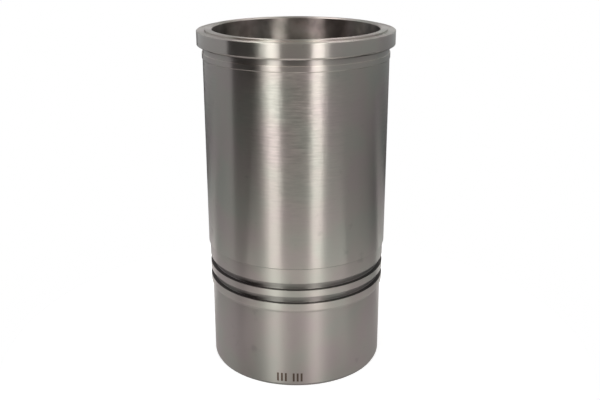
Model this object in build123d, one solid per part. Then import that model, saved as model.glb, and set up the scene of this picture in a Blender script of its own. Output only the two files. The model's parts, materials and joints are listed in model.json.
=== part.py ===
from build123d import *
import os

# Wet cylinder liner: one centrifugally cast iron sleeve, turned and ground all over.
#
# Millimetres. The axis is +Z and the origin is the centre of the bottom rim, so the liner stands
# on its skirt with the flange and the fire lip at the top. The whole piece is one revolved
# half-section, and every radius is worked out from the bore outwards.

# Overall
bore_diameter = 120.0
overall_length = 253.4  # bottom rim to the top of the fire lip

# Radial steps, from the bore out to the barrel and from the barrel to its neighbours
barrel_wall = 7.1  # bore to barrel
guide_land_step = 0.45  # guide land proud of the barrel
undercut_depth = 0.55  # undercut below the guide land
flange_overhang = 3.9  # flange rim beyond the barrel
seal_land_step = 0.9  # seal land below the barrel
skirt_step = 1.2  # skirt below the seal land
lip_wall = 5.3  # bore to the outside of the fire lip

# Axial lengths, from the top down
lip_height = 1.2
flange_thickness = 10.0
undercut_width = 5.4
guide_land_width = 3.6

# Axial lengths, from the bottom up
skirt_length = 60.0
seal_lead_in = 1.7  # cone from the skirt up to the seal land
seal_land_length = 32.2
barrel_lead_in = 0.7  # cone from the seal land up to the barrel

# Seal grooves, counted down from the top of the seal land
groove_count = 2
groove_width = 5.3
groove_depth = 3.0
groove_pitch = 10.4
top_band = 10.9  # plain band above the first groove

# Edges and corners
bore_top_chamfer = 0.8
bore_bottom_chamfer = 1.0
rim_chamfer_width = 1.0
rim_chamfer_height = 1.8
lip_edge = 0.2
flange_top_edge = 0.3
flange_bottom_edge = 0.4
seat_root_radius = 2.0  # under the flange, in the undercut
guide_land_edge = 0.1
seal_land_edge_radius = 1.5
groove_edge = 0.2

# Radii
bore_radius = bore_diameter / 2
barrel_radius = bore_radius + barrel_wall
guide_land_radius = barrel_radius + guide_land_step
undercut_radius = guide_land_radius - undercut_depth
flange_radius = barrel_radius + flange_overhang
seal_land_radius = barrel_radius - seal_land_step
skirt_radius = seal_land_radius - skirt_step
groove_floor_radius = seal_land_radius - groove_depth
lip_radius = bore_radius + lip_wall

# Heights above the bottom rim
flange_top = overall_length - lip_height
flange_seat = flange_top - flange_thickness
guide_land_top = flange_seat - undercut_width
guide_land_bottom = guide_land_top - guide_land_width
barrel_top = guide_land_bottom - guide_land_step
seal_land_bottom = skirt_length + seal_lead_in
seal_land_top = seal_land_bottom + seal_land_length
barrel_bottom = seal_land_top + barrel_lead_in
groove_tops = [seal_land_top - top_band - i * groove_pitch for i in range(groove_count)]

# Corners of the half-section that an edge break or a root radius is put on, as (radius, height)
bore_bottom_corner = (bore_radius, 0)
seal_land_bottom_corner = (seal_land_radius, seal_land_bottom)
guide_land_top_corner = (guide_land_radius, guide_land_top)
undercut_top_corner = (undercut_radius, flange_seat)
flange_bottom_corner = (flange_radius, flange_seat)
flange_top_corner = (flange_radius, flange_top)
lip_top_corner = (lip_radius, overall_length)
bore_top_corner = (bore_radius, overall_length)


def at(sketch: BuildSketch, corner: tuple[float, float]) -> Vertex:
    """The sketch's vertex that lies at this corner."""
    return sketch.vertices().sort_by_distance(corner)[0]


def sleeve_section() -> Sketch:
    """Half-section of the turned sleeve, before the seal grooves are cut."""
    with BuildSketch() as section:
        with BuildLine():
            Polyline(
                bore_bottom_corner,
                (skirt_radius - rim_chamfer_width, 0),
                (skirt_radius, rim_chamfer_height),
                (skirt_radius, skirt_length),
                seal_land_bottom_corner,
                (seal_land_radius, seal_land_top),
                (barrel_radius, barrel_bottom),
                (barrel_radius, barrel_top),
                (guide_land_radius, guide_land_bottom),
                guide_land_top_corner,
                (undercut_radius, guide_land_top),
                undercut_top_corner,
                flange_bottom_corner,
                flange_top_corner,
                (lip_radius, flange_top),
                lip_top_corner,
                bore_top_corner,
                close=True,
            )
        make_face()
        fillet(at(section, seal_land_bottom_corner), seal_land_edge_radius)
        fillet(at(section, undercut_top_corner), seat_root_radius)
        chamfer(at(section, bore_bottom_corner), bore_bottom_chamfer)
        chamfer(at(section, bore_top_corner), bore_top_chamfer)
        chamfer(at(section, guide_land_top_corner), guide_land_edge)
        chamfer(at(section, flange_bottom_corner), flange_bottom_edge)
        chamfer(at(section, flange_top_corner), flange_top_edge)
        chamfer(at(section, lip_top_corner), lip_edge)
    return section.sketch


def groove_section(top: float) -> Sketch:
    """Section of the cutter for one seal groove whose upper wall is at this height."""
    bottom = top - groove_width
    with BuildSketch() as section:
        with BuildLine():
            Polyline(
                (groove_floor_radius, bottom),
                (seal_land_radius - groove_edge, bottom),
                (seal_land_radius, bottom - groove_edge),
                (seal_land_radius + groove_edge, bottom - groove_edge),
                (seal_land_radius + groove_edge, top + groove_edge),
                (seal_land_radius, top + groove_edge),
                (seal_land_radius - groove_edge, top),
                (groove_floor_radius, top),
                close=True,
            )
        make_face()
    return section.sketch


def cylinder_liner() -> Part:
    """The finished liner: the half-section with its grooves, turned about the axis."""
    with BuildPart() as liner:
        with BuildSketch(Plane.XZ):
            add(sleeve_section())
            for top in groove_tops:
                add(groove_section(top), mode=Mode.SUBTRACT)
        revolve(axis=Axis.Z)
    return liner.part


os.makedirs("parts", exist_ok=True)
export_step(cylinder_liner(), "parts/cylinder_liner.step")
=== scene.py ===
import json
import logging
import math
from dataclasses import dataclass, field
from enum import Enum
from itertools import chain

import bpy
from mathutils import Euler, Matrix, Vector


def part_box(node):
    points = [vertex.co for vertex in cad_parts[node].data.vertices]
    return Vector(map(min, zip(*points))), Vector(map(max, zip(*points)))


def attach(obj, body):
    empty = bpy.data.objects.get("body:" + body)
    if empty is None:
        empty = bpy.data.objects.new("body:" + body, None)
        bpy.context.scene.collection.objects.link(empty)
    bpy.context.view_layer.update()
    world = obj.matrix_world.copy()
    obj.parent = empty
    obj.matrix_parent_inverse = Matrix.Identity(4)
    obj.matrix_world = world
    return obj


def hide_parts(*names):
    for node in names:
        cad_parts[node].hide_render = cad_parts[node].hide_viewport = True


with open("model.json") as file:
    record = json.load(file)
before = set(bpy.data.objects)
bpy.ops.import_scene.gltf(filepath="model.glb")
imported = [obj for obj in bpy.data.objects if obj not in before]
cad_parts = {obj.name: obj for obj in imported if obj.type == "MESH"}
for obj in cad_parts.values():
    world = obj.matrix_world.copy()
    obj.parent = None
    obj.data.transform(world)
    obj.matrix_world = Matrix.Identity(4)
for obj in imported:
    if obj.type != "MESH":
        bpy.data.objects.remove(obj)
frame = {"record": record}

MM = 0.001
AXIS_POINT = (0.0, 0.0, 0.0)
AXIS_WAY = (0.0, 0.0, 1.0)
LOG = logging.getLogger("cylinder_liner")
NODE = "cylinder_liner"
BODY = "root"


class Finish(Enum):
    """The machined finishes of the liner, each of which is one material slot; four carry painted
    shade.
    """

    TURNED = "turned_barrel"
    GROUND = "ground_land"
    RELIEF = "undercut_relief"
    RIM = "flange_rim"
    FACED = "faced_top"
    SEALING = "seal_land"
    # Floor of the seal grooves, darkened as painted shade.
    GROOVE = "seal_groove"
    # Walls of the seal grooves, nearly black as painted shade.
    WALL_IN_PAINTED_SHADE = "seal_groove_wall"
    SKIRT = "plain_skirt"
    # The bore, darkened as painted shade inside the tube.
    HONED = "honed_bore"
    EDGE = "broken_edge"
    # Dark line of painted shade on the bottom chamfer and on the cone below the barrel.
    PAINTED_SHADE_LINE = "painted_shade_edge_line"


# ---------------------------------------------------------------------------------------------
# Operator helpers
# ---------------------------------------------------------------------------------------------


# Points of the half-section nearer than this are one point, and so are vertices of the spun skin.
SAME_PLACE = 0.01 * MM
SAME_VERTEX = 0.001 * MM


def deselect_everything() -> None:
    """Goes to object mode with nothing selected."""
    if bpy.context.object and bpy.context.object.mode != "OBJECT":
        bpy.ops.object.mode_set(mode="OBJECT")
    bpy.ops.object.select_all(action="DESELECT")


def select_points(piece: bpy.types.Object, *places: Vector) -> None:
    """Selects, in edit mode, the vertices of a piece that lie at some places.

    Args:
        piece: The piece, which is active and in edit mode.
        *places: The places, in the row frame.
    """
    bpy.ops.mesh.select_all(action="DESELECT")
    bpy.ops.object.mode_set(mode="OBJECT")
    for vertex in piece.data.vertices:
        vertex.select = any((vertex.co - place).length < SAME_PLACE for place in places)
    bpy.ops.object.mode_set(mode="EDIT")


def settle() -> None:
    """Applies the active piece's place to its mesh, so that its object is at the origin."""
    bpy.ops.object.transform_apply(location=True, rotation=True, scale=True)


def add_seed(name: str, place: Vector) -> bpy.types.Object:
    """Adds a piece that holds one vertex, from which an outline is drawn.

    Args:
        name: The piece's name.
        place: Where the vertex is, in the row frame.

    Returns:
        The piece, active, with its object at the origin, in edit mode.
    """
    deselect_everything()
    bpy.ops.mesh.primitive_plane_add(size=MM, location=place)
    piece = bpy.context.object
    piece.name = name
    settle()
    bpy.ops.object.mode_set(mode="EDIT")
    bpy.ops.mesh.select_all(action="SELECT")
    bpy.ops.mesh.merge(type="CENTER")
    return piece


def draw_to(step: Vector) -> None:
    """Draws one edge from the selected vertex, and leaves its far end selected."""
    bpy.ops.mesh.extrude_region_move(TRANSFORM_OT_translate={"value": step})


# ---------------------------------------------------------------------------------------------
# The half-section, one class for each stretch of the liner
# ---------------------------------------------------------------------------------------------


@dataclass(frozen=True)
class Corner:
    """One corner of the half-section.

    Attributes:
        radius: Distance from the axis.
        height: Height above the bottom rim.
        rounding: How far the corner is cut back along both of its edges.
        steps: How many facets the rounding has.
        finish: The finish of the stretch that starts at this corner.
    """

    radius: float
    height: float
    rounding: float
    steps: int
    finish: Finish

    def place(self) -> Vector:
        """The corner in the plane that the section is drawn in."""
        return Vector((self.radius, 0.0, self.height))


EDGE_BREAK = 0.08 * MM
EDGE_STEPS = 2
ROOT_STEPS = 4
ROUND_PROFILE = 0.5


def sharp(radius: float, height: float, finish: Finish, rounding: float = EDGE_BREAK) -> Corner:
    """A machined corner with its burr taken off.

    Args:
        radius: Distance from the axis.
        height: Height above the bottom rim.
        finish: The finish of the stretch that starts here.
        rounding: How far the edge break cuts the corner back.

    Returns:
        The corner.
    """
    return Corner(radius, height, rounding, EDGE_STEPS, finish)


def rounded(radius: float, height: float, finish: Finish, rounding: float) -> Corner:
    """A corner with a tool radius that is large enough to see.

    Args:
        radius: Distance from the axis.
        height: Height above the bottom rim.
        finish: The finish of the stretch that starts here.
        rounding: How far the corner is cut back along both of its edges.

    Returns:
        The corner.
    """
    return Corner(radius, height, rounding, ROOT_STEPS, finish)


@dataclass
class Skirt:
    """The plain lower end, which hangs in the crankcase.

    Attributes:
        bore: Radius of the bore.
        land: Radius of the seal land above.
        step: How far the skirt lies inside the seal land.
        length: Bottom rim to the cone.
        lead_in: Height of the cone up to the seal land.
        corner_rounding: Rounding of the skirt's own two corners.
        land_edge_rounding: Rounding of the seal land's lower edge.
        rim_width: Width of the chamfer at the bottom rim.
        rim_height: Height of that chamfer.
        bore_chamfer: Width of the chamfer at the lower end of the bore.
    """

    bore: float
    land: float
    step: float = 1.2 * MM
    length: float = 60.0 * MM
    lead_in: float = 1.7 * MM
    corner_rounding: float = 0.5 * MM
    land_edge_rounding: float = 1.1 * MM
    rim_width: float = 1.0 * MM
    rim_height: float = 1.8 * MM
    bore_chamfer: float = 1.0 * MM

    @property
    def radius(self) -> float:
        """Outer radius of the skirt."""
        return self.land - self.step

    def corners(self) -> list[Corner]:
        """The outside of the skirt, from the bore's lower chamfer up to the seal land."""
        return [
            sharp(self.bore + self.bore_chamfer, 0.0, Finish.FACED),
            # The bottom chamfer is a dark line of painted shade.
            sharp(self.radius - self.rim_width, 0.0, Finish.PAINTED_SHADE_LINE),
            rounded(self.radius, self.rim_height, Finish.SKIRT, self.corner_rounding),
            rounded(self.radius, self.length, Finish.SKIRT, self.corner_rounding),
            rounded(self.land, self.length + self.lead_in, Finish.SEALING, self.land_edge_rounding),
        ]


@dataclass
class SealLand:
    """The ground land that carries the seal rings, with its grooves.

    Attributes:
        radius: Radius of the land.
        groove_middles: Heights of the middles of the grooves.
        groove_width: Width of a groove.
        groove_depth: Depth of a groove.
        groove_edge: Rounding of a groove's lips.
        groove_root: Rounding of the corners at a groove's floor.
        top_band: Plain band above the upper groove.
    """

    radius: float
    groove_middles: tuple[float, ...]
    groove_width: float = 5.3 * MM
    groove_depth: float = 3.0 * MM
    groove_edge: float = 0.2 * MM
    groove_root: float = 0.4 * MM
    top_band: float = 10.9 * MM

    @property
    def top(self) -> float:
        """Height of the land's upper edge."""
        return max(self.groove_middles) + self.groove_width / 2 + self.top_band

    def groove(self, middle: float) -> list[Corner]:
        """One groove, from its lower lip to its upper lip.

        Args:
            middle: Height of the groove's middle.

        Returns:
            Its corners, going up.
        """
        low = middle - self.groove_width / 2
        high = middle + self.groove_width / 2
        floor = self.radius - self.groove_depth
        # The groove's floor and walls are darkened as painted shade, the walls most.
        return [
            rounded(self.radius, low, Finish.WALL_IN_PAINTED_SHADE, self.groove_edge),
            rounded(floor, low, Finish.GROOVE, self.groove_root),
            rounded(floor, high, Finish.WALL_IN_PAINTED_SHADE, self.groove_root),
            rounded(self.radius, high, Finish.SEALING, self.groove_edge),
        ]

    def corners(self) -> list[Corner]:
        """The grooves and the top edge of the land, going up."""
        grooves = [self.groove(middle) for middle in sorted(self.groove_middles)]
        # The cone from the land's top edge up to the barrel is a dark line of painted shade.
        return [*chain(*grooves), sharp(self.radius, self.top, Finish.PAINTED_SHADE_LINE)]


@dataclass
class Barrel:
    """The long turned wall that the coolant runs past.

    Attributes:
        radius: Radius of the barrel.
        foot: Height of its lower end.
        top: Height of its upper end, where the cone to the guide land starts.
    """

    radius: float
    foot: float
    top: float

    def corners(self) -> list[Corner]:
        """The bottom and the top of the barrel."""
        return [
            sharp(self.radius, self.foot, Finish.TURNED),
            sharp(self.radius, self.top, Finish.EDGE),
        ]


@dataclass
class GuideCollar:
    """The ground guide land under the flange, and the undercut above it.

    Attributes:
        barrel: Radius of the barrel below.
        seat: Height of the flange's seat above.
        land_step: How far the land stands out from the barrel.
        land_width: Height of the land.
        undercut_width: Height of the undercut.
        undercut_depth: How far the undercut lies inside the land.
        seat_root: Rounding of the corner below the flange.
        undercut_root: Rounding of the undercut's lower corner.
        land_edge: Edge break at the top of the land.
    """

    barrel: float
    seat: float
    land_step: float = 0.45 * MM
    land_width: float = 3.6 * MM
    undercut_width: float = 5.4 * MM
    undercut_depth: float = 0.55 * MM
    seat_root: float = 1.8 * MM
    undercut_root: float = 0.06 * MM
    land_edge: float = 0.04 * MM

    @property
    def land(self) -> float:
        """Radius of the guide land."""
        return self.barrel + self.land_step

    @property
    def land_foot(self) -> float:
        """Height where the guide land begins."""
        return self.seat - self.undercut_width - self.land_width

    @property
    def cone_foot(self) -> float:
        """Height where the cone from the barrel to the guide land begins."""
        return self.land_foot - self.land_step

    def corners(self) -> list[Corner]:
        """The guide land and the undercut, up to the root below the flange.

        Returns:
            The corners, going up.
        """
        floor = self.land - self.undercut_depth
        land_top = self.seat - self.undercut_width
        return [
            sharp(self.land, self.land_foot, Finish.GROUND),
            sharp(self.land, land_top, Finish.RELIEF, self.land_edge),
            rounded(floor, land_top, Finish.RELIEF, self.undercut_root),
            rounded(floor, self.seat, Finish.RELIEF, self.seat_root),
        ]


@dataclass
class Flange:
    """The flange that the cylinder head clamps into the block.

    Attributes:
        radius: Radius of the rim.
        seat: Height of the seat.
        top: Height of the top face.
        lower_edge: Width of the chamfer below the rim.
        upper_edge: Width of the chamfer above the rim.
        edge_softness: Rounding of both chamfers' corners.
    """

    radius: float
    seat: float
    top: float
    lower_edge: float = 0.4 * MM
    upper_edge: float = 0.3 * MM
    edge_softness: float = 0.12 * MM

    def corners(self) -> list[Corner]:
        """The flange from its seat round its rim to its top face."""
        soft = self.edge_softness
        return [
            sharp(self.radius - self.lower_edge, self.seat, Finish.EDGE, soft),
            sharp(self.radius, self.seat + self.lower_edge, Finish.RIM, soft),
            sharp(self.radius, self.top - self.upper_edge, Finish.EDGE, soft),
            sharp(self.radius - self.upper_edge, self.top, Finish.FACED, soft),
        ]


@dataclass
class FireLip:
    """The raised ring round the bore that seals on the head gasket.

    Attributes:
        bore: Radius of the bore.
        foot: Height of the flange's top face.
        top: Height of the ring's top.
        wall: Bore to the outside of the ring.
        root: Rounding of the corner at its foot.
        edge: Rounding of its outer edge.
        bore_chamfer: Width of the chamfer at the bore.
    """

    bore: float
    foot: float
    top: float
    wall: float = 5.3 * MM
    root: float = 0.06 * MM
    edge: float = 0.15 * MM
    bore_chamfer: float = 0.8 * MM

    def corners(self) -> list[Corner]:
        """The lip from its root over its top to the chamfer at the bore."""
        outside = self.bore + self.wall
        return [
            rounded(outside, self.foot, Finish.RELIEF, self.root),
            rounded(outside, self.top, Finish.FACED, self.edge),
            sharp(self.bore + self.bore_chamfer, self.top, Finish.EDGE),
            sharp(self.bore, self.top - self.bore_chamfer, Finish.HONED),
        ]


@dataclass
class Bore:
    """The honed bore that the piston runs in.

    Attributes:
        radius: Radius of the bore.
        bottom_chamfer: Height of the chamfer at its lower end.
    """

    radius: float
    bottom_chamfer: float = 1.0 * MM

    def corners(self) -> list[Corner]:
        """The lower end of the bore."""
        return [sharp(self.radius, self.bottom_chamfer, Finish.EDGE)]


# ---------------------------------------------------------------------------------------------
# Shared surface effects, as node groups
# ---------------------------------------------------------------------------------------------


NUMBER = "NodeSocketFloat"
COLOUR = "NodeSocketColor"


class Wiring:
    """A node tree that is being drawn, with short names for its nodes."""

    def __init__(self, tree: bpy.types.NodeTree) -> None:
        """Takes the tree that the nodes are added to."""
        self.tree = tree

    def node(self, kind: str, **settings: object) -> bpy.types.Node:
        """Adds a node.

        Args:
            kind: The node's type name.
            **settings: Attributes to set on it.

        Returns:
            The node.
        """
        made = self.tree.nodes.new(kind)
        for key, value in settings.items():
            setattr(made, key, value)
        return made

    def put(self, target: bpy.types.NodeSocket, source: object) -> None:
        """Fills an input.

        Args:
            target: The input.
            source: A socket to link to it, or its value.
        """
        if isinstance(source, bpy.types.NodeSocket):
            self.tree.links.new(source, target)
        else:
            target.default_value = source

    def math(self, operation: str, *terms: object, clamp: bool = False) -> bpy.types.NodeSocket:
        """Adds a Math node.

        Args:
            operation: Its operation.
            *terms: Numbers, or sockets to link.
            clamp: Whether the result is kept from 0 to 1.

        Returns:
            Its output.
        """
        made = self.node("ShaderNodeMath", operation=operation, use_clamp=clamp)
        for socket, term in zip(made.inputs, terms):
            self.put(socket, term)
        return made.outputs[0]

    def place(self) -> bpy.types.NodeSocket:
        """Where a point lies in the row frame."""
        return self.node("ShaderNodeTexCoord").outputs["Object"]

    def parts(self, vector: bpy.types.NodeSocket) -> bpy.types.NodeOutputs:
        """Splits a vector.

        Args:
            vector: The vector.

        Returns:
            Its parts, as X, Y and Z.
        """
        made = self.node("ShaderNodeSeparateXYZ")
        self.put(made.inputs[0], vector)
        return made.outputs

    def joined(self, *parts: object) -> bpy.types.NodeSocket:
        """Joins numbers or sockets to a vector.

        Args:
            *parts: X, Y and Z, of which those left out are 0.

        Returns:
            The vector.
        """
        made = self.node("ShaderNodeCombineXYZ")
        for socket, part in zip(made.inputs, parts):
            self.put(socket, part)
        return made.outputs[0]

    def scaled(self, vector: bpy.types.NodeSocket, factor: object) -> bpy.types.NodeSocket:
        """Scales a vector.

        Args:
            vector: The vector.
            factor: A number, or a socket to link.

        Returns:
            The scaled vector.
        """
        made = self.node("ShaderNodeVectorMath", operation="SCALE")
        self.put(made.inputs[0], vector)
        self.put(made.inputs["Scale"], factor)
        return made.outputs[0]

    def length(self, vector: bpy.types.NodeSocket) -> bpy.types.NodeSocket:
        """Measures a vector.

        Args:
            vector: The vector.

        Returns:
            Its length.
        """
        made = self.node("ShaderNodeVectorMath", operation="LENGTH")
        self.put(made.inputs[0], vector)
        return made.outputs["Value"]

    def noise(self, vector: bpy.types.NodeSocket, scale: float, detail: float) -> bpy.types.NodeSocket:
        """Adds a 3-D noise.

        Args:
            vector: Where it is read.
            scale: Its scale.
            detail: Its number of octaves.

        Returns:
            Its value, about 0.5 on average.
        """
        made = self.node("ShaderNodeTexNoise")
        self.put(made.inputs["Scale"], scale)
        self.put(made.inputs["Detail"], detail)
        self.put(made.inputs["Vector"], vector)
        return made.outputs["Fac"]

    def mixed(self, blend: str, share: object, under: object, over: object) -> bpy.types.NodeSocket:
        """Lays one colour over another.

        Args:
            blend: The kind of mix.
            share: How much of the upper colour counts.
            under: The lower colour.
            over: The upper colour.

        Returns:
            The mixed colour.
        """
        made = self.node("ShaderNodeMix", data_type="RGBA", blend_type=blend)
        self.put(made.inputs["Factor"], share)
        self.put(made.inputs["A"], under)
        self.put(made.inputs["B"], over)
        return made.outputs["Result"]

    def effect(self, group: bpy.types.NodeTree, **values: object) -> bpy.types.NodeOutputs:
        """Adds a shared effect.

        Args:
            group: Its node group.
            **values: What its inputs get, by their names with _ for a space.

        Returns:
            Its outputs.
        """
        made = self.node("ShaderNodeGroup", node_tree=group)
        for name, value in values.items():
            self.put(made.inputs[name.replace("_", " ")], value)
        return made.outputs


class Effect(Wiring):
    """A shader node group that is being drawn."""

    def __init__(self, name: str, takes: dict[str, object], gives: dict[str, str]) -> None:
        """Starts a group.

        Args:
            name: The group's name.
            takes: Its inputs, with the value that each has where nothing is linked.
            gives: Its outputs, with the kind of each.
        """
        super().__init__(bpy.data.node_groups.new(name, "ShaderNodeTree"))
        for socket_name, value in takes.items():
            kind = COLOUR if isinstance(value, tuple) else NUMBER
            socket = self.tree.interface.new_socket(name=socket_name, in_out="INPUT", socket_type=kind)
            socket.default_value = value
        for socket_name, kind in gives.items():
            self.tree.interface.new_socket(name=socket_name, in_out="OUTPUT", socket_type=kind)
        self.inner = self.node("NodeGroupInput").outputs
        self.outer = self.node("NodeGroupOutput").inputs


def turning_marks_effect() -> bpy.types.NodeTree:
    """Tool marks that run round the axis, as fine rings and as broken arcs.

    The marks swell where a jaw of the chuck pressed and fade halfway between two jaws. They are
    strongest near the flange, and faint low on the barrel.

    Returns:
        A group that takes where a point lies along the feed and puts out the marks' height
        and tone.
    """
    takes = {
        "Feed": 0.0,
        "Pitch": 1.0 * MM,
        "Arc Length": 20.0 * MM,
        "Arc Crowding": 1.6,
        "Arc Share": 0.65,
        "Jaws": 4.0,
        "Quiet Below": 120.0 * MM,
        "Onset": 60.0 * MM,
        "Quiet Level": 0.15,
    }
    effect = Effect("turning_marks", takes, {"Height": NUMBER, "Tone": NUMBER})
    inner = effect.inner
    place = effect.place()
    rings = effect.math("DIVIDE", inner["Feed"], inner["Pitch"])
    ring = effect.noise(effect.joined(rings), scale=1.0, detail=1.0)

    around = effect.scaled(place, effect.math("DIVIDE", 1.0, inner["Arc Length"]))
    split = effect.parts(around)
    crowded = effect.math("MULTIPLY", rings, inner["Arc Crowding"])
    arc = effect.noise(effect.joined(split["X"], split["Y"], crowded), scale=1.0, detail=2.0)

    turn = effect.math("ARCTAN2", split["Y"], split["X"])
    wave = effect.math("COSINE", effect.math("MULTIPLY", turn, inner["Jaws"]))
    swell = effect.math("MULTIPLY_ADD", wave, 0.5, 0.5)
    rise = effect.math("SUBTRACT", effect.parts(place)["Z"], inner["Quiet Below"])
    climb = effect.math("DIVIDE", rise, inner["Onset"], clamp=True)
    headroom = effect.math("SUBTRACT", 1.0, inner["Quiet Level"])
    onset = effect.math("MULTIPLY_ADD", climb, headroom, inner["Quiet Level"])
    strength = effect.math("MULTIPLY", swell, onset)

    ring_share = effect.math("SUBTRACT", 1.0, inner["Arc Share"])
    arcs = effect.math("MULTIPLY", arc, inner["Arc Share"])
    height = effect.math("ADD", effect.math("MULTIPLY", ring, ring_share), arcs)
    level = effect.math("MULTIPLY", effect.math("MULTIPLY_ADD", height, 2.0, -1.0), strength)
    effect.put(effect.outer["Height"], level)
    effect.put(effect.outer["Tone"], level)
    return effect.tree


def honing_marks_effect() -> bpy.types.NodeTree:
    """Cross-hatch of a honed bore: two sets of helical scratches and a cloudy film of oil.

    Returns:
        A group that puts out the scratches' height and the tone of scratches and film.
    """
    takes = {
        "Scratches": 150.0,
        "Rise": 4300.0,
        "Scratch Tone": 0.15,
        "Film Scale": 90.0,
        "Film Contrast": 4.0,
    }
    effect = Effect("honing_marks", takes, {"Height": NUMBER, "Tone": NUMBER})
    inner = effect.inner
    place = effect.place()
    split = effect.parts(place)
    turn = effect.math("ARCTAN2", split["Y"], split["X"])
    around = effect.math("MULTIPLY", turn, inner["Scratches"])
    up = effect.math("MULTIPLY", split["Z"], inner["Rise"])
    rising = effect.math("SINE", effect.math("ADD", around, up))
    falling = effect.math("SINE", effect.math("SUBTRACT", around, up))
    hatch = effect.math("MAXIMUM", rising, falling)

    film = effect.noise(effect.scaled(place, inner["Film Scale"]), scale=1.0, detail=3.0)
    middle = effect.math("MULTIPLY", inner["Film Contrast"], -0.5)
    cloud = effect.math("MULTIPLY_ADD", film, inner["Film Contrast"], middle)
    effect.put(effect.outer["Height"], hatch)
    effect.put(effect.outer["Tone"], effect.math("MULTIPLY_ADD", hatch, inner["Scratch Tone"], cloud))
    return effect.tree


def etched_ticks_effect() -> bpy.types.NodeTree:
    """Two groups of three short upright ticks, etched near the bottom rim.

    Each tick fills the first half of its pitch, in a row of seven of which the fourth is left out.

    Returns:
        A group that puts out the mask of the ticks.
    """
    takes = {
        "Left Edge": -14.5 * MM,
        "Foot": 3.8 * MM,
        "Height": 6.8 * MM,
        "Pitch": 2.9 * MM,
        "Ticks": 7.0,
        "Gap Middle": 3.25,
    }
    effect = Effect("etched_ticks", takes, {"Mask": NUMBER})
    inner = effect.inner
    split = effect.parts(effect.place())
    along = effect.math("SUBTRACT", split["X"], inner["Left Edge"])
    count = effect.math("DIVIDE", along, inner["Pitch"])
    tick = effect.math("LESS_THAN", effect.math("FRACT", count), 0.5)
    started = effect.math("GREATER_THAN", count, 0.0)
    row = effect.math("MULTIPLY", started, effect.math("LESS_THAN", count, inner["Ticks"]))
    gap = effect.math("COMPARE", count, inner["Gap Middle"], 0.5)
    rise = effect.math("SUBTRACT", split["Z"], inner["Foot"])
    above = effect.math("DIVIDE", rise, inner["Height"])
    tall = effect.math("COMPARE", above, 0.5, 0.5)
    front = effect.math("LESS_THAN", split["Y"], 0.0)
    kept = effect.math("MULTIPLY", row, effect.math("SUBTRACT", 1.0, gap))
    across = effect.math("MULTIPLY", tick, kept)
    upright = effect.math("MULTIPLY", tall, front)
    effect.put(effect.outer["Mask"], effect.math("MULTIPLY", across, upright))
    return effect.tree


def handled_metal_effect() -> bpy.types.NodeTree:
    """Metal colour with faint warm and cool patches and a few finger smudges.

    Returns:
        A group that takes the clean colour and puts out the handled one and a smudge mask.
    """
    takes = {
        "Colour": (0.5, 0.5, 0.5, 1.0),
        "Tone": 0.0,
        "Tone Depth": 0.05,
        "Patch Depth": 0.5,
        "Smudge Depth": 0.3,
        "Smudge From": 0.66,
        "Smudge Edge": 9.0,
    }
    effect = Effect("handled_metal", takes, {"Colour": COLOUR, "Smudge": NUMBER})
    inner = effect.inner
    place = effect.place()

    tint = effect.node("ShaderNodeValToRGB")
    cool, warm = tint.color_ramp.elements
    cool.position, cool.color = 0.36, (0.94, 1.0, 0.97, 1.0)
    warm.position, warm.color = 0.64, (1.0, 0.95, 0.98, 1.0)
    tint.color_ramp.elements.new(0.5).color = (0.985, 0.985, 0.975, 1.0)
    effect.put(tint.inputs["Fac"], effect.noise(place, scale=32.0, detail=2.0))
    tinted = effect.mixed("MULTIPLY", inner["Patch Depth"], inner["Colour"], tint.outputs["Color"])

    grain = effect.math("MULTIPLY_ADD", inner["Tone"], inner["Tone Depth"], 1.0)
    spots = effect.noise(place, scale=95.0, detail=3.0)
    above = effect.math("SUBTRACT", spots, inner["Smudge From"])
    spot = effect.math("MULTIPLY", above, inner["Smudge Edge"], clamp=True)
    smudge = effect.math("MULTIPLY", spot, inner["Smudge Depth"])
    shade = effect.math("MULTIPLY", grain, effect.math("SUBTRACT", 1.0, smudge))
    effect.put(effect.outer["Colour"], effect.scaled(tinted, shade))
    effect.put(effect.outer["Smudge"], smudge)
    return effect.tree


# ---------------------------------------------------------------------------------------------
# Materials
# ---------------------------------------------------------------------------------------------


# At an anisotropy of 1 the shader narrows the reflection along the marks by this share.
GREATEST_NARROWING = 0.9
QUARTER_TURN = 0.25
SMUDGE_ROUGHNESS = 0.25


def new_material(name: str) -> bpy.types.Material:
    """Starts a material of nodes.

    Args:
        name: The material's name.

    Returns:
        The material, with its Principled shader.
    """
    made = bpy.data.materials.new(name)
    made.use_nodes = True
    return made


class Feed(Enum):
    """The way the tool moved as it left its marks."""

    ALONG = "along the axis"
    ACROSS = "towards the axis"
    HELICAL = "both ways along a helix"


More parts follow.
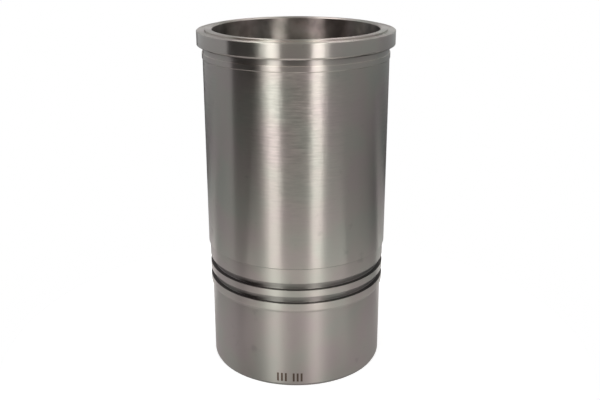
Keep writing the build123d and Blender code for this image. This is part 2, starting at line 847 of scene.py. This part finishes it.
@dataclass(frozen=True)
class MachinedIron:
    """One machined finish of the grey iron.

    Attributes:
        colour: Reflectance of the clean metal, darkened as painted shade in the groove, bore and
            dark-line finishes.
        spread_across: Width of the reflection across the tool marks, from 0 to 1.
        spread_along: Width of the reflection along the tool marks, from 0 to 1.
        feed: The way the tool moved.
        pitch: Distance between two visible tool marks.
        arc: Length of a broken arc of a mark.
        relief: Height of the marks.
        tone: Strength of the marks' tone.
        unevenness: How much rougher the raised parts of the marks are.
        patches: Strength of the colour patches.
        smudges: Strength of the finger smudges.
        etched: Whether the row of ticks is etched into it.
    """

    colour: tuple[float, float, float]
    spread_across: float
    spread_along: float
    feed: Feed = Feed.ALONG
    pitch: float = 1.2 * MM
    arc: float = 22.0 * MM
    relief: float = 0.001 * MM
    tone: float = 0.04
    unevenness: float = 0.0
    patches: float = 1.1
    smudges: float = 0.12
    etched: bool = False

    @property
    def roughness(self) -> float:
        """The shader's roughness, whose square is the mean of the two spreads."""
        return (self.spread_across * self.spread_along) ** 0.25

    @property
    def anisotropy(self) -> float:
        """The shader's anisotropy for the ratio of the two spreads."""
        return min(1.0, (1.0 - self.spread_along / self.spread_across) / GREATEST_NARROWING)

    def marks(self, wiring: Wiring, effects: dict[str, bpy.types.NodeTree]) -> bpy.types.NodeOutputs:
        """Adds the marks that the tool left.

        Args:
            wiring: The material's nodes.
            effects: The shared node groups by name.

        Returns:
            The marks' outputs, Height and Tone.
        """
        if self.feed is Feed.HELICAL:
            return wiring.effect(effects["honing_marks"])
        split = wiring.parts(wiring.place())
        travel = split["Z"]
        if self.feed is Feed.ACROSS:
            travel = wiring.length(wiring.joined(split["X"], split["Y"]))
        return wiring.effect(
            effects["turning_marks"], Feed=travel, Pitch=self.pitch, Arc_Length=self.arc
        )

    def material(self, name: str, effects: dict[str, bpy.types.NodeTree]) -> bpy.types.Material:
        """Makes the material.

        Args:
            name: The material's name.
            effects: The shared node groups by name.

        Returns:
            The material.
        """
        made = new_material(name)
        wiring = Wiring(made.node_tree)
        shader = made.node_tree.nodes["Principled BSDF"].inputs
        shader["Metallic"].default_value = 1.0
        shader["Anisotropic"].default_value = self.anisotropy
        shader["Anisotropic Rotation"].default_value = QUARTER_TURN
        tangent = wiring.node("ShaderNodeTangent", direction_type="RADIAL", axis="Z")
        wiring.put(shader["Tangent"], tangent.outputs[0])

        marks = self.marks(wiring, effects)
        handled = wiring.effect(
            effects["handled_metal"],
            Colour=(*self.colour, 1.0),
            Tone=marks["Tone"],
            Tone_Depth=self.tone,
            Patch_Depth=self.patches,
            Smudge_Depth=self.smudges,
        )
        colour = handled["Colour"]
        if self.etched:
            ticks = wiring.effect(effects["etched_ticks"])
            colour = wiring.mixed("MIX", ticks["Mask"], colour, (*ETCH, 1.0))
        wiring.put(shader["Base Color"], colour)

        smudged = wiring.math("MULTIPLY_ADD", handled["Smudge"], SMUDGE_ROUGHNESS, self.roughness)
        uneven = wiring.math("MULTIPLY_ADD", marks["Tone"], self.unevenness, smudged)
        wiring.put(shader["Roughness"], uneven)

        bump = wiring.node("ShaderNodeBump")
        wiring.put(bump.inputs["Distance"], self.relief)
        wiring.put(bump.inputs["Height"], marks["Height"])
        wiring.put(shader["Normal"], bump.outputs[0])
        return made


IRON = (0.53, 0.487, 0.445)
BRIGHT_IRON = (0.58, 0.532, 0.487)
DULL_IRON = (0.45, 0.41, 0.38)
# Dark lines of painted shade on the bottom chamfer and the cone below the barrel.
DARK_LINE_PAINTED_SHADE = (0.29, 0.268, 0.25)
# Groove floor, darkened to about 0.6 of the iron as painted shade.
GROOVE_FLOOR_PAINTED_SHADE = (0.34, 0.312, 0.29)
# Nearly black groove walls: painted shade.
SHADED_IRON = (0.135, 0.124, 0.116)
# Bore iron, darkened to about half as painted shade inside the tube.
BORE_IRON_PAINTED_SHADE = (0.26, 0.225, 0.205)
ETCH = (0.13, 0.095, 0.075)

# The two numbers are the spread across the tool marks and the spread along them.
FINISHES: dict[Finish, MachinedIron] = {
    Finish.TURNED: MachinedIron(
        IRON, 0.42, 0.03, pitch=2.0 * MM, arc=7.0 * MM, relief=0.15 * MM, tone=0.4, unevenness=0.06
    ),
    Finish.GROUND: MachinedIron(BRIGHT_IRON, 0.36, 0.02),
    Finish.RELIEF: MachinedIron(BRIGHT_IRON, 0.16, 0.04),
    Finish.RIM: MachinedIron(BRIGHT_IRON, 0.36, 0.018),
    Finish.FACED: MachinedIron(IRON, 0.45, 0.05, feed=Feed.ACROSS),
    Finish.SEALING: MachinedIron(IRON, 0.50, 0.085),
    Finish.GROOVE: MachinedIron(GROOVE_FLOOR_PAINTED_SHADE, 0.40, 0.055, relief=0.002 * MM, tone=0.10),
    Finish.WALL_IN_PAINTED_SHADE: MachinedIron(SHADED_IRON, 0.40, 0.12, relief=0.002 * MM, tone=0.10),
    Finish.SKIRT: MachinedIron(DULL_IRON, 0.55, 0.10, patches=1.8, etched=True),
    Finish.HONED: MachinedIron(
        BORE_IRON_PAINTED_SHADE, 0.32, 0.045, feed=Feed.HELICAL, relief=0.002 * MM, tone=0.42
    ),
    Finish.EDGE: MachinedIron(IRON, 0.25, 0.10),
    Finish.PAINTED_SHADE_LINE: MachinedIron(DARK_LINE_PAINTED_SHADE, 0.40, 0.12, relief=0.002 * MM, tone=0.10),
}


# ---------------------------------------------------------------------------------------------
# The liner
# ---------------------------------------------------------------------------------------------


@dataclass
class CylinderLiner:
    """The whole liner, turned from one half-section.

    Attributes:
        bore_radius: Radius of the bore.
        flange_radius: Radius of the flange.
        length: Bottom rim to the top of the fire lip.
        seat: Height of the flange's seat.
        seal_radius: Radius of the seal land.
        groove_middles: Heights of the middles of the seal grooves.
        wall: Bore to barrel.
        lip_height: Height of the fire lip above the flange.
        barrel_lead_in: Height of the cone between the seal land and the barrel.
        facets: Facets round the axis.
    """

    bore_radius: float
    flange_radius: float
    length: float
    seat: float
    seal_radius: float
    groove_middles: tuple[float, ...]
    wall: float = 7.1 * MM
    lip_height: float = 1.2 * MM
    barrel_lead_in: float = 0.7 * MM
    facets: int = 360

    @classmethod
    def from_frame(cls, record: dict) -> "CylinderLiner":
        """Reads the liner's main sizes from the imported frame.

        Args:
            record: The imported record.

        Returns:
            The liner.
        """
        mounts = {mount["name"]: mount for mount in record["mounts"]}
        grooves = [mount for name, mount in mounts.items() if name.startswith("seal_groove")]
        lowest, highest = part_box(NODE)
        return cls(
            bore_radius=mounts["bore"]["dims"]["r_mm"] * MM,
            flange_radius=mounts["flange_rim"]["dims"]["r_mm"] * MM,
            length=highest.z - lowest.z,
            seat=mounts["flange_seat"]["pos_m"][2],
            seal_radius=mounts["seal_land"]["dims"]["r_mm"] * MM,
            groove_middles=tuple(mount["pos_m"][2] for mount in grooves),
        )

    def half_section(self) -> list[Corner]:
        """The corners of the half-section, up the outside and down the bore.

        Returns:
            The corners in order.
        """
        barrel_radius = self.bore_radius + self.wall
        flange_top = self.length - self.lip_height
        seals = SealLand(self.seal_radius, self.groove_middles)
        collar = GuideCollar(barrel_radius, self.seat)
        stretches = (
            Skirt(self.bore_radius, self.seal_radius),
            seals,
            Barrel(barrel_radius, seals.top + self.barrel_lead_in, collar.cone_foot),
            collar,
            Flange(self.flange_radius, self.seat, flange_top),
            FireLip(self.bore_radius, flange_top, self.length),
            Bore(self.bore_radius),
        )
        return [corner for stretch in stretches for corner in stretch.corners()]

    def draw(self, corners: list[Corner]) -> bpy.types.Object:
        """Draws the half-section as a closed chain of edges and rounds its corners.

        Args:
            corners: The corners in order.

        Returns:
            The drawn section, active and in edit mode.
        """
        section = add_seed(NODE + "_turned", corners[0].place())
        for corner, following in zip(corners, corners[1:]):
            draw_to(following.place() - corner.place())
        select_points(section, corners[0].place(), corners[-1].place())
        bpy.ops.mesh.edge_face_add()
        for corner in corners:
            select_points(section, corner.place())
            bpy.ops.mesh.bevel(
                affect="VERTICES", offset=corner.rounding, segments=corner.steps, profile=ROUND_PROFILE
            )
        return section

    def spin(self, section: bpy.types.Object) -> None:
        """Turns the drawn section about the axis into a closed skin.

        Args:
            section: The section, active and in edit mode.
        """
        bpy.ops.mesh.select_all(action="SELECT")
        bpy.ops.mesh.spin(steps=self.facets, angle=math.tau, center=AXIS_POINT, axis=AXIS_WAY)
        bpy.ops.mesh.select_all(action="SELECT")
        bpy.ops.mesh.remove_doubles(threshold=SAME_VERTEX)
        bpy.ops.mesh.normals_make_consistent(inside=False)
        bpy.ops.object.mode_set(mode="OBJECT")
        bpy.ops.object.shade_smooth()
        bpy.ops.object.modifier_add(type="WEIGHTED_NORMAL")
        bpy.ops.object.modifier_apply(modifier=section.modifiers[0].name)

    def dress(
        self, piece: bpy.types.Object, corners: list[Corner], effects: dict[str, bpy.types.NodeTree]
    ) -> None:
        """Gives each face the finish of the stretch that it lies on.

        Args:
            piece: The spun liner.
            corners: The corners in order.
            effects: The shared node groups by name.
        """
        order = list(Finish)
        for finish in order:
            piece.data.materials.append(FINISHES[finish].material(finish.value, effects))
        stretches = list(zip(corners, corners[1:] + corners[:1]))
        known: dict[tuple[int, int], int] = {}
        for face in piece.data.polygons:
            radius = math.hypot(face.center.x, face.center.y)
            place = Vector((radius, 0.0, face.center.z))
            key = (round(place.x / SAME_PLACE), round(place.z / SAME_PLACE))
            if key not in known:
                nearest = min(stretches, key=lambda pair: gap_to_stretch(place, *pair))
                known[key] = order.index(nearest[0].finish)
            face.material_index = known[key]

    def build(self, effects: dict[str, bpy.types.NodeTree]) -> bpy.types.Object:
        """Builds the finished liner in the frame.

        Args:
            effects: The shared node groups by name.

        Returns:
            The piece.
        """
        corners = self.half_section()
        piece = self.draw(corners)
        self.spin(piece)
        self.dress(piece, corners, effects)
        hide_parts(NODE)
        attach(piece, BODY)
        return piece


def gap_to_stretch(place: Vector, start: Corner, end: Corner) -> float:
    """Distance from a place in the section plane to the straight between two corners.

    Args:
        place: The place.
        start: The corner where the straight starts.
        end: The corner where it ends.

    Returns:
        The distance in metres.
    """
    run = end.place() - start.place()
    share = max(0.0, min(1.0, (place - start.place()).dot(run) / run.length_squared))
    return (start.place() + run * share - place).length


# ---------------------------------------------------------------------------------------------
# The studio
# ---------------------------------------------------------------------------------------------


WHITE = (1.0, 1.0, 1.0, 1.0)


def card_material(name: str, shade: float, coolness: float = 0.0) -> bpy.types.Material:
    """Evenly lit card, of a given shade.

    Args:
        name: The material's name.
        shade: How bright the card is, where 1 is white.
        coolness: Share by which its red is lowered and its blue is raised.

    Returns:
        The material.
    """
    made = new_material(name)
    wiring = Wiring(made.node_tree)
    nodes = made.node_tree.nodes
    nodes.remove(nodes["Principled BSDF"])
    glow = wiring.node("ShaderNodeEmission")
    red, blue = shade * (1.0 - coolness), shade * (1.0 + coolness)
    wiring.put(glow.inputs["Color"], (red, shade, blue, 1.0))
    wiring.put(nodes["Material Output"].inputs["Surface"], glow.outputs[0])
    return made


def hide_from_camera(thing: bpy.types.Object) -> None:
    """Keeps a lamp or a card out of the picture, while the metal still reflects it."""
    thing.visible_camera = False


def add_disc(name: str, radius: float, height: float = 0.0) -> bpy.types.Object:
    """Adds a flat round piece about the axis.

    Args:
        name: The piece's name.
        radius: Its radius.
        height: Its height.

    Returns:
        The piece, active, with its object at the origin.
    """
    deselect_everything()
    bpy.ops.mesh.primitive_circle_add(
        vertices=96, radius=radius, fill_type="NGON", location=(0.0, 0.0, height)
    )
    disc = bpy.context.object
    disc.name = name
    settle()
    return disc


@dataclass
class Card:
    """A card swept round the liner, out of the camera's sight.

    Attributes:
        name: The card's name.
        start: Azimuth of its left edge in degrees, 0 towards the camera and 90 to the right.
        end: Azimuth of its right edge.
        near: Distance from the axis and height of its first edge.
        far: Distance from the axis and height of its second edge.
        shade: How bright it is, where 1 is white.
        coolness: Share by which its red is lowered and its blue is raised.
        facet: About how many degrees each facet turns.
    """

    name: str
    start: float
    end: float
    near: tuple[float, float]
    far: tuple[float, float]
    shade: float
    coolness: float = 0.0
    facet: float = 3.0

    def edge_point(self, place: tuple[float, float]) -> Vector:
        """A distance and a height, at the card's left edge, as a point."""
        turn = math.radians(self.start)
        return Vector((math.sin(turn) * place[0], -math.cos(turn) * place[0], place[1]))

    def build(self) -> bpy.types.Object:
        """Spins a straight edge through the card's azimuths.

        Returns:
            The card.
        """
        first = self.edge_point(self.near)
        card = add_seed(self.name, first)
        draw_to(self.edge_point(self.far) - first)
        bpy.ops.mesh.select_all(action="SELECT")
        sweep = self.end - self.start
        facets = max(2, round(sweep / self.facet))
        bpy.ops.mesh.spin(steps=facets, angle=-math.radians(sweep), center=AXIS_POINT, axis=AXIS_WAY)
        bpy.ops.object.mode_set(mode="OBJECT")
        card.data.materials.append(card_material(self.name, self.shade, self.coolness))
        hide_from_camera(card)
        return card


@dataclass
class Softbox:
    """A flat upright lamp that faces the axis.

    Attributes:
        name: The lamp's name.
        azimuth: Where it stands in degrees, 0 towards the camera and 90 to the right.
        foot: Height of its lower edge.
        top: Height of its upper edge.
        width: Its width.
        radiance: How bright its face is, where 1 is white.
        distance: Distance of its middle from the axis.
    """

    name: str
    azimuth: float
    foot: float
    top: float
    width: float
    radiance: float
    distance: float = 0.8

    def build(self) -> bpy.types.Object:
        """Adds the lamp.

        Returns:
            The lamp.
        """
        deselect_everything()
        turn = math.radians(self.azimuth)
        middle = Vector((math.sin(turn), -math.cos(turn), 0.0)) * self.distance
        middle.z = (self.foot + self.top) / 2
        bpy.ops.object.light_add(type="AREA", location=middle)
        lamp = bpy.context.object
        lamp.name = self.name
        lamp.rotation_euler = Euler((math.pi / 2, 0.0, turn))
        tall = self.top - self.foot
        lamp.data.shape = "RECTANGLE"
        lamp.data.size = self.width
        lamp.data.size_y = tall
        lamp.data.energy = math.pi * self.radiance * self.width * tall
        hide_from_camera(lamp)
        return lamp


@dataclass
class Table:
    """The white table top, which shows under the liner and catches its shadow.

    Attributes:
        radius: Its radius.
        glow: How much of its white near the liner doesn't depend on the lamps.
        glow_from: Share of the radius from which the white grows.
        glow_to: Share of the radius from which it is plain white.
        inset: Width of its outer ring of facets, as a share of the radius.
        paint: Reflectance of its paint.
        paint_roughness: Roughness of its paint.
    """

    radius: float = 0.23
    glow: float = 0.7
    glow_from: float = 0.3
    glow_to: float = 0.8
    inset: float = 0.5
    paint: float = 0.5
    paint_roughness: float = 0.9

    def build(self) -> bpy.types.Object:
        """Makes the table top.

        Returns:
            The table top.
        """
        table = add_disc("white_table", self.radius)
        bpy.ops.object.mode_set(mode="EDIT")
        bpy.ops.mesh.select_all(action="SELECT")
        bpy.ops.mesh.inset(thickness=self.radius * self.inset)
        bpy.ops.object.mode_set(mode="OBJECT")
        table.data.materials.append(self.material())
        table.visible_glossy = False
        return table

    def material(self) -> bpy.types.Material:
        """White paint that keeps the shadow near the liner and is plain white at its edge.

        Returns:
            The material.
        """
        made = new_material("white_table")
        wiring = Wiring(made.node_tree)
        shader = made.node_tree.nodes["Principled BSDF"].inputs
        shader["Base Color"].default_value = (self.paint, self.paint, self.paint, 1.0)
        shader["Roughness"].default_value = self.paint_roughness
        shader["Specular IOR Level"].default_value = 0.0
        shader["Emission Color"].default_value = WHITE

        rays = wiring.node("ShaderNodeLightPath").outputs
        seen = wiring.math("ADD", rays["Is Camera Ray"], rays["Is Glossy Ray"])
        through = wiring.math("ADD", seen, rays["Is Transmission Ray"], clamp=True)
        growth = wiring.node("ShaderNodeMapRange", interpolation_type="SMOOTHSTEP")
        wiring.put(growth.inputs["From Min"], self.radius * self.glow_from)
        wiring.put(growth.inputs["From Max"], self.radius * self.glow_to)
        wiring.put(growth.inputs["To Min"], self.glow)
        wiring.put(growth.inputs["To Max"], 1.0)
        wiring.put(growth.inputs["Value"], wiring.length(wiring.place()))
        strength = wiring.math("MULTIPLY", growth.outputs["Result"], through)
        wiring.put(shader["Emission Strength"], strength)
        return made


@dataclass
class Surround:
    """The dark floor round the table, which only the metal sees.

    Attributes:
        radius: Its radius.
        height: Its height, just under the table top.
        shade: How bright it is, where 1 is white.
    """

    radius: float = 1.6
    height: float = -1.0 * MM
    shade: float = 0.02

    def build(self) -> bpy.types.Object:
        """Makes the surround.

        Returns:
            The surround.
        """
        surround = add_disc("dark_surround", self.radius, self.height)
        surround.data.materials.append(card_material("dark_surround", self.shade))
        hide_from_camera(surround)
        return surround


@dataclass
class Camera:
    """The camera.

    Attributes:
        place: Where it stands.
        pitch: How far it looks down, in degrees.
        roll: How far it leans, in degrees.
        shift: How far its picture is shifted, as a share of the picture's width.
        lens: Focal length in millimetres.
        sensor: Width of its sensor in millimetres.
        nearest: Nearest distance that it sees.
    """

    place: tuple[float, float, float] = (0.0, -0.6036, 0.3310)
    pitch: float = 19.023
    roll: float = 0.115
    shift: float = 0.00703
    lens: float = 50.15
    sensor: float = 36.0
    nearest: float = 0.01

    def build(self) -> bpy.types.Object:
        """Adds the camera and looks through it.

        Returns:
            The camera.
        """
        deselect_everything()
        bpy.ops.object.camera_add(location=self.place)
        camera = bpy.context.object
        camera.rotation_euler = Euler(
            (math.radians(90.0 - self.pitch), math.radians(self.roll), 0.0)
        )
        camera.data.lens = self.lens
        camera.data.sensor_width = self.sensor
        camera.data.shift_x = self.shift
        camera.data.clip_start = self.nearest
        bpy.context.scene.camera = camera
        return camera


@dataclass
class Studio:
    """Floor, surround, cards, lamps and camera.

    Attributes:
        cards: The cards round the liner.
        lamps: The lamps.
        table: The table top that the liner stands on.
        surround: The dark floor round it.
        camera: The camera.
    """

    cards: list[Card]
    lamps: list[Softbox]
    table: Table = field(default_factory=Table)
    surround: Surround = field(default_factory=Surround)
    camera: Camera = field(default_factory=Camera)

    def build_world(self) -> None:
        """Makes the plain white background."""
        world = bpy.data.worlds.new("white_background")
        world.use_nodes = True
        background = world.node_tree.nodes["Background"].inputs
        background["Color"].default_value = WHITE
        background["Strength"].default_value = 1.0
        bpy.context.scene.world = world

    def build(self) -> list[bpy.types.Object]:
        """Builds the whole studio.

        Returns:
            What stands in it, in the order in which it was built.
        """
        self.build_world()
        bpy.context.scene.view_settings.view_transform = "Standard"
        fittings = (self.table, self.surround, *self.cards, *self.lamps, self.camera)
        return [fitting.build() for fitting in fittings]


# Edges of the cards, each a distance from the axis and a height.
ROOM = 1.5
FLOOR_LINE = (ROOM, 0.0)
VALANCE_LINE = (ROOM, 0.6)
SHOULDER_LINE = (ROOM, 0.8)
UPPER_LINE = (ROOM, 1.6)
TOP_LINE = (ROOM, 1.9)
CEILING_LINE = (ROOM, 2.6)
CEILING_MIDDLE = (0.6, 2.6)
CEILING_AXIS = (0.001, 2.6)
UNDER_TABLE = -0.2 * MM
FOOT_RING = (0.001, UNDER_TABLE)
NEAR_RING = (0.1, UNDER_TABLE)
MIDDLE_RING = (0.14, UNDER_TABLE)
EDGE_RING = (0.24, UNDER_TABLE)
SWEEP_RING = (0.45, UNDER_TABLE)
BLACK = 0.01

# Name, left and right azimuth, first and second edge, shade.
CARDS = [
    Card("left_flag", -81, -46, FLOOR_LINE, CEILING_LINE, BLACK),
    Card("left_wall", -150, -81, FLOOR_LINE, SHOULDER_LINE, 0.65, coolness=0.045),
    Card("left_wall_high", -150, -81, SHOULDER_LINE, CEILING_LINE, 0.46, coolness=0.045),
    Card("front_flag", -46, 34, FLOOR_LINE, VALANCE_LINE, BLACK),
    Card("front_panel", -46, 34, VALANCE_LINE, TOP_LINE, 1.35, coolness=-0.02),
    Card("front_valance", -46, 34, TOP_LINE, CEILING_LINE, BLACK),
    Card("right_wall", 34, 105, FLOOR_LINE, SHOULDER_LINE, 0.55, coolness=0.03),
    Card("right_wall_high", 34, 105, SHOULDER_LINE, CEILING_LINE, 0.7),
    Card("right_back_wall", 105, 150, FLOOR_LINE, SHOULDER_LINE, 0.47, coolness=0.045),
    Card("right_back_high", 105, 128, SHOULDER_LINE, CEILING_LINE, 0.45),
    Card("right_back_flag", 128, 150, SHOULDER_LINE, CEILING_LINE, BLACK),
    Card("backdrop_right", 150, 165, FLOOR_LINE, SHOULDER_LINE, 0.4),
    Card("backdrop_right_mid", 150, 165, SHOULDER_LINE, UPPER_LINE, 1.2),
    Card("backdrop_right_high", 150, 165, UPPER_LINE, CEILING_LINE, 3.9),
    Card("backdrop", 165, 195, FLOOR_LINE, SHOULDER_LINE, 0.7),
    Card("backdrop_flag", 165, 195, SHOULDER_LINE, CEILING_LINE, BLACK),
    Card("backdrop_left", 195, 210, FLOOR_LINE, SHOULDER_LINE, 0.2),
    Card("backdrop_left_mid", 195, 210, SHOULDER_LINE, UPPER_LINE, 0.7),
    Card("backdrop_left_high", 195, 210, UPPER_LINE, CEILING_LINE, 3.1),
    Card("overhead_left", -120, -75, CEILING_LINE, CEILING_MIDDLE, 5.8),
    Card("overhead_flag", -75, 75, CEILING_LINE, CEILING_MIDDLE, BLACK),
    Card("overhead_right", 75, 120, CEILING_LINE, CEILING_MIDDLE, 1.1),
    Card("overhead_back", 120, 150, CEILING_LINE, CEILING_MIDDLE, 3.3),
    Card("overhead_back_flag", 150, 240, CEILING_LINE, CEILING_MIDDLE, BLACK),
    Card("overhead_middle", 0, 360, CEILING_MIDDLE, CEILING_AXIS, BLACK),
    Card("table_foot", 0, 360, FOOT_RING, NEAR_RING, 0.55),
    Card("table_near", 0, 360, NEAR_RING, MIDDLE_RING, 0.72),
    Card("table_front", -60, 60, MIDDLE_RING, EDGE_RING, 1.57),
    Card("table_right", 60, 120, MIDDLE_RING, EDGE_RING, 0.83),
    Card("table_back", 120, 240, MIDDLE_RING, EDGE_RING, 1.7),
    Card("table_left", 240, 300, MIDDLE_RING, EDGE_RING, 0.7),
    Card("sweep_front", -60, 60, EDGE_RING, SWEEP_RING, 0.1),
    Card("sweep_back", 120, 240, EDGE_RING, SWEEP_RING, 0.72),
    Card("sweep_left", 240, 300, EDGE_RING, SWEEP_RING, 0.32),
]

# Name, azimuth, foot and top, width, radiance.
LAMPS = [
    Softbox("left_strip", -30.7, 0.4, 1.0, 0.265, 5.15),
    Softbox("left_strip_foot", -24.8, 0.01, 0.15, 0.2, 3.4),
    Softbox("right_strip", 26.6, 0.4, 1.0, 0.25, 5.2),
    Softbox("right_strip_foot", 23.7, 0.01, 0.15, 0.18, 3.5),
]


def main() -> None:
    """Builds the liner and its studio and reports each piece."""
    logging.basicConfig(level=logging.INFO, format="%(name)s: %(message)s")
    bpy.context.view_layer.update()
    effects = {
        "turning_marks": turning_marks_effect(),
        "honing_marks": honing_marks_effect(),
        "etched_ticks": etched_ticks_effect(),
        "handled_metal": handled_metal_effect(),
    }
    liner = CylinderLiner.from_frame(frame["record"]).build(effects)
    LOG.info("%s: %d faces", liner.name, len(liner.data.polygons))
    for fitting in Studio(CARDS, LAMPS).build():
        LOG.info("%s: in place", fitting.name)


if __name__ == "__main__":
    main()
